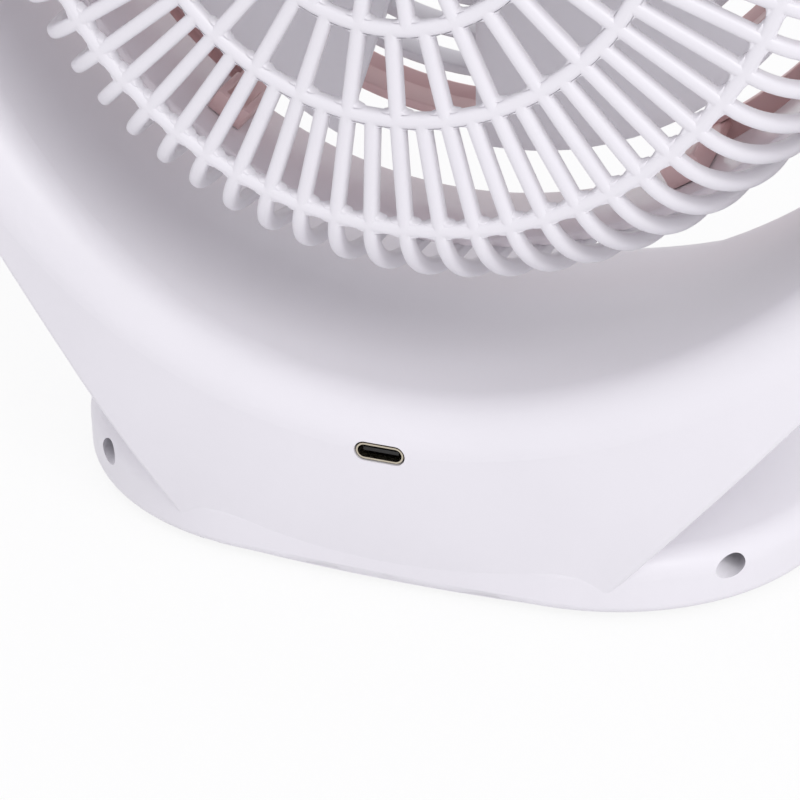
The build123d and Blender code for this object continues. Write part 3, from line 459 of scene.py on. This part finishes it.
def rounded_outline(corners):
    """A closed outline through (radius, y, edge radius) corners, with an arc at each."""
    points = []
    for index, (x, y, edge) in enumerate(corners):
        if edge == 0.0:
            points.append((x, y))
            continue
        corner = Vector((x, y))
        before = Vector(corners[index - 1][:2]) - corner
        after = Vector(corners[(index + 1) % len(corners)][:2]) - corner
        half = before.angle(after) / 2
        reach = edge * cos(half) / sin(half)
        start = corner + before.normalized() * reach
        end = corner + after.normalized() * reach
        inward = (before.normalized() + after.normalized()).normalized()
        middle = corner + inward * (edge / sin(half))
        first = start - middle
        turn = first.angle_signed(end - middle)
        for step in range(CORNER_STEPS + 1):
            angle = -turn * step / CORNER_STEPS
            points.append((middle.x + first.x * cos(angle) - first.y * sin(angle),
                           middle.y + first.x * sin(angle) + first.y * cos(angle)))
    return points


def bar(name, low_r, high_r, width, front, rear):
    """A straight rib from one radius to another, with its long edges rounded."""
    section = rounded_section(width, rear - front, GRILLE_EDGE_R)
    middle = (front + rear) / 2
    rows = []
    for radius in (low_r, high_r):
        rows.append([Vector((radius, middle + along, AXIS_Z + across)) for across, along in section])
    return skin(name, rows)


def soft_block(name, low, high):
    """A block between two (radius, y, across) corners, with all its edges rounded."""
    mesh = bpy.data.meshes.new(name)
    made = bmesh.new()
    bmesh.ops.create_cube(made, size=1.0)
    for vertex in made.verts:
        shares = vertex.co + Vector((0.5, 0.5, 0.5))
        radius, y, across = [a + (b - a) * share for a, b, share in zip(low, high, shares)]
        vertex.co = Vector((radius, y, AXIS_Z + across))
    bmesh.ops.bevel(made, geom=made.edges[:], offset=GRILLE_EDGE_R, segments=CLIP_EDGE_STEPS,
                    profile=0.5, affect="EDGES")
    made.to_mesh(mesh)
    made.free()
    return new_object(name, mesh)


def grille_wing():
    """One side wing, as an angle section bent about the fan axis."""
    soft = GRILLE_EDGE_R
    floor_y = WING_FRONT_Y + WING_THICKNESS
    wall_r = GRILLE_R - WING_WALL
    outline = rounded_outline([
        (WING_INNER_R, WING_FRONT_Y, soft), (GRILLE_R, WING_FRONT_Y, WING_EDGE_R),
        (GRILLE_R, WING_REAR_Y, soft), (wall_r, WING_REAR_Y, soft),
        (wall_r, floor_y, soft), (WING_INNER_R, floor_y, soft)])
    rows = []
    for step in range(WING_STEPS + 1):
        turn = WING_SPREAD * (2 * step / WING_STEPS - 1)
        rows.append([polar(r, y, turn) for r, y in outline])
    return skin("wing", rows)


def grille_clip():
    """A tongue that reaches back from the wing along the liner, with an open frame at its end."""
    low_r = CLIP_R - CLIP_DEPTH
    half = CLIP_WIDTH / 2
    inner = half - CLIP_WALL
    blocks = (((CLIP_R - CLIP_WALL, WING_FRONT_Y, -half), (CLIP_R, CLIP_REAR_Y, half)),
              ((low_r, CLIP_FRONT_Y, -half), (CLIP_R, CLIP_REAR_Y, -inner)),
              ((low_r, CLIP_FRONT_Y, inner), (CLIP_R, CLIP_REAR_Y, half)),
              ((low_r, CLIP_REAR_Y - CLIP_WALL, -half), (CLIP_R, CLIP_REAR_Y, half)))
    made = [soft_block(f"clip_{index}", low, high) for index, (low, high) in enumerate(blocks)]
    return combine(made[0], made[1:], "UNION")


def on_both_wings(first, turns):
    return copies_around(first, [side + turn for side in (0.0, pi) for turn in turns])


def make_front_grille():
    soft = GRILLE_EDGE_R
    outline = rounded_outline([
        (BAND_OUTER_R, GRILLE_FRONT_Y, soft), (BAND_OUTER_R, BAND_REAR_Y, soft),
        (BAND_INNER_R, BAND_REAR_Y, soft), (BAND_INNER_R, BAND_LIP_Y, soft),
        (BAND_LIP_R, GRILLE_FRONT_Y, soft)])
    base = revolve("front_grille_mesh", outline)
    spoke = bar("spoke", BAND_OUTER_R - soft, WING_INNER_R + soft, SPOKE_WIDTH,
                WING_FRONT_Y, WING_FRONT_Y + SPOKE_DEPTH)
    pieces = on_both_wings(grille_wing(), (0.0,))
    pieces += on_both_wings(spoke, (-SPOKE_SPREAD, 0.0, SPOKE_SPREAD))
    pieces += on_both_wings(grille_clip(), (-CLIP_SPREAD, CLIP_SPREAD))
    return smooth(combine(base, pieces, "UNION"))


def make_grille_insert():
    soft = GRILLE_EDGE_R
    seat_y = GRILLE_FRONT_Y + CAP_SINK
    floor_y = GRILLE_FRONT_Y + INSERT_HUB_WALL
    inner = INSERT_HUB_R - INSERT_HUB_WALL
    cup = bent_path([(CAP_R, seat_y), (CAP_R, GRILLE_FRONT_Y), (INSERT_HUB_R, GRILLE_FRONT_Y),
                     (INSERT_HUB_R, INSERT_REAR_Y), (inner, INSERT_REAR_Y), (inner, floor_y)], soft)
    base = spin_solid("grille_insert_mesh", cup)
    pieces = []
    for index in range(INSERT_RING_COUNT):
        outer = INSERT_RING_R - INSERT_RING_PITCH * index
        section = ring_outline(outer - INSERT_RING_WALL, outer, GRILLE_FRONT_Y, INSERT_REAR_Y, soft)
        pieces.append(revolve(f"ring_{index}", section))
    spoke = bar("insert_spoke", INSERT_HUB_R - soft, INSERT_REACH_R, INSERT_SPOKE_WIDTH,
                BAND_LIP_Y, INSERT_REAR_Y)
    pieces += copies_around(spoke, full_circle(INSERT_SPOKES, pi / INSERT_SPOKES))
    return smooth(combine(base, pieces, "UNION"))


def make_cage_liner():
    section = ring_outline(LINER_R - LINER_WALL, LINER_R, LINER_LOW.y, LINER_HIGH.y, LINER_EDGE_R)
    return smooth(revolve("cage_liner_mesh", section))


# Fan blades

BLADES_LOW, BLADES_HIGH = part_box("fan_blades")
BLADE_COUNT = 5
BLADE_TURN = radians(46)
BLADE_TIP_R = 0.0705
BLADE_ROOT_R = 0.017
BLADE_LOFT_R = 0.078
BLADE_THICKNESS = 0.0018
BLADE_ROOT_CHORD = 0.024
BLADE_TIP_CHORD = 0.080
BLADE_ROOT_PITCH = radians(40)
BLADE_TIP_PITCH = radians(8)
BLADE_MID_Y = 0.0055
BLADE_ROWS = 18
BLADE_COLUMNS = 24
EDGE_TAPER_POWER = 0.5
EDGE_TAPER_GAIN = 1.5
TIP_ROUND_POWER = 24
TIP_THICKNESS_SHARE = 0.35
TIP_HALVINGS = 40
FAN_HUB_R = 0.019
FAN_HUB_WALL = 0.002
FAN_HUB_FRONT_Y = -0.003
FAN_HUB_REAR_Y = 0.017
FAN_HUB_EDGE_R = 0.0015
FAN_BOSS_R = 0.005
FAN_BOSS_REAR_Y = 0.015
SHAFT_R = 0.00158


def blade_point(share, thick, reach):
    """A point at a share of the chord, a distance off the chord and a reach from root to loft end."""
    ends = []
    for radius, chord, pitch in ((BLADE_ROOT_R, BLADE_ROOT_CHORD, BLADE_ROOT_PITCH),
                                 (BLADE_LOFT_R, BLADE_TIP_CHORD, BLADE_TIP_PITCH)):
        along = chord * share
        y = -along * sin(pitch) - thick * cos(pitch)
        z = along * cos(pitch) - thick * sin(pitch)
        ends.append(Vector((radius, BLADE_MID_Y + y, AXIS_Z + z)))
    return ends[0] + (ends[1] - ends[0]) * reach


def tip_reach(share):
    """How far along the blade the round tip lies, at a share of the chord."""
    low = 0.0
    high = 1.0
    for halving in range(TIP_HALVINGS):
        middle = (low + high) / 2
        point = blade_point(share, 0.0, middle)
        if hypot(point.x, point.z - AXIS_Z) > BLADE_TIP_R:
            high = middle
        else:
            low = middle
    return low


def blade(name):
    """One blade: thin at its edges, with the full thickness kept over most of the chord."""
    rows = []
    for row in range(BLADE_ROWS + 1):
        out = row / BLADE_ROWS
        tip_round = sqrt(max(0.0, 1 - out ** TIP_ROUND_POWER))
        row_thick = BLADE_THICKNESS / 2 * max(tip_round, TIP_THICKNESS_SHARE)
        front = []
        rear = []
        for column in range(BLADE_COLUMNS + 1):
            angle = pi * column / BLADE_COLUMNS
            share = -cos(angle) / 2
            reach = tip_reach(share) * row / BLADE_ROWS
            thick = row_thick * min(1.0, sin(angle) ** EDGE_TAPER_POWER * EDGE_TAPER_GAIN)
            front.append(blade_point(share, thick, reach))
            rear.append(blade_point(share, -thick, reach))
        rows.append(front + rear[-2:0:-1])
    return skin(name, rows)


def make_fan_blades():
    inner = FAN_HUB_R - FAN_HUB_WALL
    floor_y = FAN_HUB_FRONT_Y + FAN_HUB_WALL
    hub_outline = rounded_outline([
        (SHAFT_R, FAN_HUB_FRONT_Y, 0.0), (FAN_HUB_R, FAN_HUB_FRONT_Y, FAN_HUB_EDGE_R),
        (FAN_HUB_R, FAN_HUB_REAR_Y, SOFT_EDGE_R), (inner, FAN_HUB_REAR_Y, SOFT_EDGE_R),
        (inner, floor_y, SOFT_EDGE_R), (FAN_BOSS_R, floor_y, SOFT_EDGE_R),
        (FAN_BOSS_R, FAN_BOSS_REAR_Y, SOFT_EDGE_R), (SHAFT_R, FAN_BOSS_REAR_Y, 0.0)])
    hub = revolve("fan_blades_mesh", hub_outline, ROUND_STEPS)
    root_r = FAN_HUB_R - FAN_HUB_WALL / 2
    root_cut = cylinder("root_cut", root_r, BLADES_LOW.y - root_r, BLADES_HIGH.y + root_r)
    first = combine(blade("blade"), [root_cut], "DIFFERENCE")
    blades = copies_around(first, full_circle(BLADE_COUNT, BLADE_TURN))
    return smooth(combine(hub, blades, "UNION"))


# Speed dial

DIAL_PLACE = Vector(JOINTS["dial_turn"]["pos_m"])
DIAL_OUT = -Vector(JOINTS["dial_turn"]["axis"]).normalized()
DIAL_R = 0.011
DIAL_LOW = 0.0006
DIAL_TOP = 0.0056
DIAL_EDGE_R = 0.0012
DIAL_FOOT_EDGE = 0.0003
DIAL_GRIPS = 24
DIAL_GRIP_DEPTH = 0.0007
DIAL_GRIP_TOP = 0.004
DIAL_GRIP_POWER = 3
DIAL_GRIP_STEPS = 16
DIAL_HOLLOW_R = 0.007
DIAL_HOLLOW_TOP = 0.0026
DIAL_SHAFT_R = 0.0029
DIAL_SHAFT_TOP = 0.0046
POINTER_WIDTH = 0.0014
POINTER_LENGTH = 0.005
POINTER_DEPTH = 0.0007
POINTER_CENTRE = 0.007
POINTER_TURN = radians(135)


def to_panel():
    """From the dial's own axes to its place on the panel."""
    right = Vector((1, 0, 0))
    up = DIAL_OUT.cross(right)
    turn = Matrix((right, up, DIAL_OUT)).transposed().to_4x4()
    return Matrix.Translation(DIAL_PLACE) @ turn


def dial_radius(turn, height):
    """Radius of the dial's side, with grip grooves that run out below its top edge."""
    wave = (1 + cos(turn * DIAL_GRIPS)) / 2
    fade = min(1.0, max(0.0, (DIAL_GRIP_TOP - height) / DIAL_EDGE_R))
    return DIAL_R - DIAL_GRIP_DEPTH * wave ** DIAL_GRIP_POWER * fade


def dial_levels():
    """Heights of the dial's rows, each with how far the row stands in from the side."""
    levels = [(DIAL_LOW, DIAL_FOOT_EDGE), (DIAL_LOW + DIAL_FOOT_EDGE, 0.0)]
    for step in range(CORNER_STEPS + 1):
        levels.append((DIAL_GRIP_TOP - DIAL_EDGE_R + DIAL_EDGE_R * step / CORNER_STEPS, 0.0))
    for turn in QUARTER_TURNS:
        levels.append((DIAL_TOP - DIAL_EDGE_R * (1 - sin(turn)), DIAL_EDGE_R * (1 - cos(turn))))
    return levels


def dial_knob():
    rows = []
    for height, inset in dial_levels():
        row = []
        for turn in full_circle(DIAL_GRIP_STEPS * DIAL_GRIPS):
            radius = dial_radius(turn, height) - inset
            row.append(Vector((radius * cos(turn), radius * sin(turn), height)))
        rows.append(row)
    return skin("speed_dial_mesh", rows)


def prism(name, section, low, high):
    """An upright block on a section of (x, y) points."""
    return skin(name, [[Vector((x, y, z)) for x, y in section] for z in (low, high)])


def dial_bore(name, radius, top):
    circle = [(radius * cos(turn), radius * sin(turn)) for turn in full_circle(ROUND_STEPS)]
    return prism(name, circle, 0.0, top)


def pointer_slot():
    half = POINTER_WIDTH / 2
    near = POINTER_CENTRE - POINTER_LENGTH / 2
    far = POINTER_CENTRE + POINTER_LENGTH / 2
    section = [(-half, near), (half, near), (half, far), (-half, far)]
    slot = prism("slot", section, DIAL_TOP - POINTER_DEPTH, DIAL_TOP + POINTER_DEPTH)
    return turned(slot, Matrix.Rotation(POINTER_TURN, 4, "Z"))


def make_speed_dial():
    cuts = [dial_bore("hollow", DIAL_HOLLOW_R, DIAL_HOLLOW_TOP)]
    cuts.append(dial_bore("bore", DIAL_SHAFT_R, DIAL_SHAFT_TOP))
    cuts.append(pointer_slot())
    return smooth(turned(combine(dial_knob(), cuts, "DIFFERENCE"), to_panel()))


# Camera

CAMERA_PLACE = Vector((-0.11456, 0.38494, 0.24511))
CAMERA_TARGET = Vector((0.01255, 0.003, 0.0126))
CAMERA_ROLL = radians(0.24)
CAMERA_LENS = 103.5
CAMERA_SENSOR = 36.0
CAMERA_CLIP_START = 0.01
CAMERA_CLIP_END = 20.0


def make_camera():
    forward = (CAMERA_TARGET - CAMERA_PLACE).normalized()
    right = forward.cross(Vector((0, 0, 1))).normalized()
    up = right.cross(forward)
    across = right * cos(CAMERA_ROLL) + up * sin(CAMERA_ROLL)
    upward = up * cos(CAMERA_ROLL) - right * sin(CAMERA_ROLL)
    turn = Matrix((across, upward, -forward)).transposed().to_4x4()
    data = bpy.data.cameras.new("camera")
    data.lens = CAMERA_LENS
    data.sensor_width = CAMERA_SENSOR
    data.sensor_fit = "HORIZONTAL"
    data.clip_start = CAMERA_CLIP_START
    data.clip_end = CAMERA_CLIP_END
    camera = new_object("camera", data)
    camera.matrix_world = Matrix.Translation(CAMERA_PLACE) @ turn
    bpy.context.scene.camera = camera


# Light and floor

KEY_PLACE = Vector((-0.735, 0.765, 1.0))
KEY_TARGET = Vector((0, 0.03, 0.06))
KEY_SIZE = 0.8
KEY_POWER = 6.2
WHITE = (1, 1, 1, 1)
WORLD_COLOUR = (0.96, 0.945, 1.0, 1.0)
WORLD_LIGHT = 0.86
FLOOR_COLOUR = (0.9, 0.9, 0.9, 1)
FLOOR_SHADOW_SHARE = 0.12
FLOOR_HALF = 3.0


def make_key_light():
    data = bpy.data.lights.new("key", "AREA")
    data.shape = "DISK"
    data.size = KEY_SIZE
    data.energy = KEY_POWER
    lamp = new_object("key", data)
    lamp.location = KEY_PLACE
    lamp.rotation_mode = "QUATERNION"
    lamp.rotation_quaternion = (KEY_TARGET - KEY_PLACE).to_track_quat("-Z", "Y")


def seen_directly(tree):
    """1 for rays from the camera, and for those that gloss or glass sends on."""
    path = tree.nodes.new("ShaderNodeLightPath")
    seen = path.outputs["Is Camera Ray"]
    for kind in ("Is Glossy Ray", "Is Transmission Ray"):
        either = tree.nodes.new("ShaderNodeMath")
        either.operation = "MAXIMUM"
        tree.links.new(seen, either.inputs[0])
        tree.links.new(path.outputs[kind], either.inputs[1])
        seen = either.outputs[0]
    return seen


def flat_light(tree, kind, colour, strength):
    """A background or a glowing surface of one colour."""
    light = tree.nodes.new(kind)
    light.inputs["Color"].default_value = colour
    light.inputs["Strength"].default_value = strength
    return light


def send_mix(tree, output_kind, share, first, second):
    """Sends a mix of two shaders to the output."""
    mix = tree.nodes.new("ShaderNodeMixShader")
    out = tree.nodes.new(output_kind)
    tree.links.new(share, mix.inputs["Fac"])
    tree.links.new(first.outputs[0], mix.inputs[1])
    tree.links.new(second.outputs[0], mix.inputs[2])
    tree.links.new(mix.outputs[0], out.inputs["Surface"])


def make_world():
    """Even light from all sides, with plain white where the background is seen directly."""
    world = bpy.data.worlds.new("studio")
    bpy.context.scene.world = world
    world.use_nodes = True
    tree = world.node_tree
    tree.nodes.clear()
    light = flat_light(tree, "ShaderNodeBackground", WORLD_COLOUR, WORLD_LIGHT)
    white = flat_light(tree, "ShaderNodeBackground", WHITE, 1.0)
    send_mix(tree, "ShaderNodeOutputWorld", seen_directly(tree), light, white)


def floor_material():
    """Pale paint that is white where it is seen directly, apart from a share of its shadow."""
    material = bpy.data.materials.new("floor")
    material.use_nodes = True
    tree = material.node_tree
    tree.nodes.clear()
    paint = tree.nodes.new("ShaderNodeBsdfDiffuse")
    paint.inputs["Color"].default_value = FLOOR_COLOUR
    white = flat_light(tree, "ShaderNodeEmission", WHITE, 1.0)
    share = tree.nodes.new("ShaderNodeMath")
    share.operation = "MULTIPLY"
    share.inputs[1].default_value = 1 - FLOOR_SHADOW_SHARE
    tree.links.new(seen_directly(tree), share.inputs[0])
    send_mix(tree, "ShaderNodeOutputMaterial", share.outputs[0], paint, white)
    return material


def make_floor():
    corners = [(-FLOOR_HALF, -FLOOR_HALF, 0), (FLOOR_HALF, -FLOOR_HALF, 0),
               (FLOOR_HALF, FLOOR_HALF, 0), (-FLOOR_HALF, FLOOR_HALF, 0)]
    floor = mesh_object("floor", corners, [(0, 1, 2, 3)])
    floor.data.materials.append(floor_material())


# Materials

DRIFT_SCALE = 22.0
DRIFT_DETAIL = 3.0
DRIFT_LOW = 0.3
DRIFT_HIGH = 0.7
PLASTIC_FINISH_SPREAD = 0.05
GRAIN_DETAIL = 2.0
GRAIN_STRENGTH = 0.3
STREAK_SCALE = 900.0
STREAK_DETAIL = 4.0
STREAK_DARK = 0.88
STREAK_PALE = 1.08
METAL_FINISH_SPREAD = 0.08


def new_material(name):
    """A material, its node tree, its main shader and its object coordinates."""
    material = bpy.data.materials.new(name)
    material.use_nodes = True
    tree = material.node_tree
    place = tree.nodes.new("ShaderNodeTexCoord")
    return material, tree, tree.nodes["Principled BSDF"], place.outputs["Object"]


def noise(tree, place, scale, detail):
    made = tree.nodes.new("ShaderNodeTexNoise")
    made.inputs["Scale"].default_value = scale
    made.inputs["Detail"].default_value = detail
    tree.links.new(place, made.inputs["Vector"])
    return made.outputs["Fac"]


def toned(colour, factor):
    return (*[min(1.0, c * factor) for c in colour], 1)


def vary(tree, shader, pattern, tones, roughness, spread):
    """Lets a pattern drive the tone between two (position, colour) ends, and the finish."""
    ramp = tree.nodes.new("ShaderNodeValToRGB")
    for index, (position, colour) in enumerate(tones):
        ramp.color_ramp.elements[index].position = position
        ramp.color_ramp.elements[index].color = colour
    tree.links.new(pattern, ramp.inputs["Fac"])
    tree.links.new(ramp.outputs["Color"], shader.inputs["Base Color"])
    finish = tree.nodes.new("ShaderNodeMapRange")
    finish.inputs["To Min"].default_value = roughness - spread
    finish.inputs["To Max"].default_value = roughness + spread
    tree.links.new(pattern, finish.inputs["Value"])
    tree.links.new(finish.outputs["Result"], shader.inputs["Roughness"])


def plastic(name, colour, roughness, mottle=0.02, grain=1400.0, relief=0.00002):
    """Moulded plastic: a slow drift in tone, a fine grain and a finish that varies a little."""
    material, tree, shader, place = new_material(name)
    drift = noise(tree, place, DRIFT_SCALE, DRIFT_DETAIL)
    tones = ((DRIFT_LOW, toned(colour, 1 - mottle)), (DRIFT_HIGH, toned(colour, 1 + mottle)))
    vary(tree, shader, drift, tones, roughness, PLASTIC_FINISH_SPREAD)
    bump = tree.nodes.new("ShaderNodeBump")
    bump.inputs["Strength"].default_value = GRAIN_STRENGTH
    bump.inputs["Distance"].default_value = relief
    tree.links.new(noise(tree, place, grain, GRAIN_DETAIL), bump.inputs["Height"])
    tree.links.new(bump.outputs["Normal"], shader.inputs["Normal"])
    return material


def metal(name, colour, roughness, stretch=(1, 1, 1)):
    """Drawn or plated metal: fine streaks in tone and finish."""
    material, tree, shader, place = new_material(name)
    shader.inputs["Metallic"].default_value = 1.0
    scaled = tree.nodes.new("ShaderNodeMapping")
    scaled.inputs["Scale"].default_value = stretch
    tree.links.new(place, scaled.inputs["Vector"])
    streaks = noise(tree, scaled.outputs["Vector"], STREAK_SCALE, STREAK_DETAIL)
    tones = ((0.0, toned(colour, STREAK_DARK)), (1.0, toned(colour, STREAK_PALE)))
    vary(tree, shader, streaks, tones, roughness, METAL_FINISH_SPREAD)
    return material


PLASTICS = {
    "white_shell": dict(colour=(0.80, 0.785, 0.815), roughness=0.42),
    "white_cage": dict(colour=(0.80, 0.785, 0.815), roughness=0.38),
    "pink_plastic": dict(colour=(0.76, 0.53, 0.52), roughness=0.35),
    # The liner is white plastic. Its pale pink tint is painted reflection of the pink grille, and its tone is
    # raised above the shell's as painted light for the shade inside the head.
    "liner_plastic": dict(colour=(0.88, 0.82, 0.85), roughness=0.2),
    # The blades are the same white plastic as the shell. Their paler tone is painted light, standing in for light
    # that reaches them inside the cage.
    "blade_plastic": dict(colour=(0.88, 0.865, 0.895), roughness=0.40),
    "base_plastic": dict(colour=(0.62, 0.61, 0.635), roughness=0.55, relief=0.00006),
    "dial_plastic": dict(colour=(0.02, 0.02, 0.022), roughness=0.4),
    "pointer": dict(colour=(0.80, 0.79, 0.80), roughness=0.4),
    "foot_rubber": dict(colour=(0.035, 0.035, 0.037), roughness=0.75, mottle=0.1,
                        grain=900.0, relief=0.00008),
    "washer_rubber": dict(colour=(0.05, 0.05, 0.052), roughness=0.7, mottle=0.1,
                          grain=900.0, relief=0.00006),
    "bush_plastic": dict(colour=(0.62, 0.58, 0.48), roughness=0.45),
    "black_plastic": dict(colour=(0.012, 0.012, 0.013), roughness=0.45, mottle=0.1),
    "board": dict(colour=(0.02, 0.11, 0.05), roughness=0.4, mottle=0.12, grain=500.0, relief=0.00004),
    "cell_wrap": dict(colour=(0.03, 0.08, 0.30), roughness=0.25, mottle=0.05),
    "magnet": dict(colour=(0.03, 0.03, 0.033), roughness=0.6, mottle=0.15),
    "light_lens": dict(colour=(0.80, 0.82, 0.80), roughness=0.2, mottle=0.03),
}
METALS = {
    "steel": dict(colour=(0.56, 0.56, 0.57), roughness=0.3),
    "socket_metal": dict(colour=(0.58, 0.52, 0.42), roughness=0.28, stretch=(1, 8, 1)),
    "motor_steel": dict(colour=(0.50, 0.50, 0.52), roughness=0.32, stretch=(1, 12, 1)),
    "bronze": dict(colour=(0.45, 0.27, 0.12), roughness=0.4),
    "core_steel": dict(colour=(0.22, 0.22, 0.23), roughness=0.5, stretch=(1, 30, 1)),
}
MATERIALS = {slot: plastic(slot, **look) for slot, look in PLASTICS.items()}
MATERIALS.update({slot: metal(slot, **look) for slot, look in METALS.items()})


# The dressed part and its stage

def dress_nodes():
    for row in frame["record"]["subparts"]:
        node = NODES[row["node"]]
        node.data.materials.clear()
        node.data.materials.append(MATERIALS[row["material_slot"]])


def add_piece(piece, body, slot, *replaced):
    piece.data.materials.clear()
    piece.data.materials.append(MATERIALS[slot])
    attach(piece, body)
    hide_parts(*replaced)


dress_nodes()
add_piece(make_rear_cage(), "head", "white_cage", "rear_cage")
add_piece(make_cage_liner(), "head", "liner_plastic", "cage_liner")
add_piece(make_front_grille(), "head", "pink_plastic", "front_grille")
add_piece(make_grille_insert(), "head", "white_cage", "grille_insert")
add_piece(make_fan_blades(), "rotor", "blade_plastic", "fan_blades")
add_piece(make_speed_dial(), "dial", "dial_plastic", "speed_dial")
make_camera()
make_world()
make_floor()
make_key_light()
bpy.context.scene.view_settings.view_transform = "Standard"
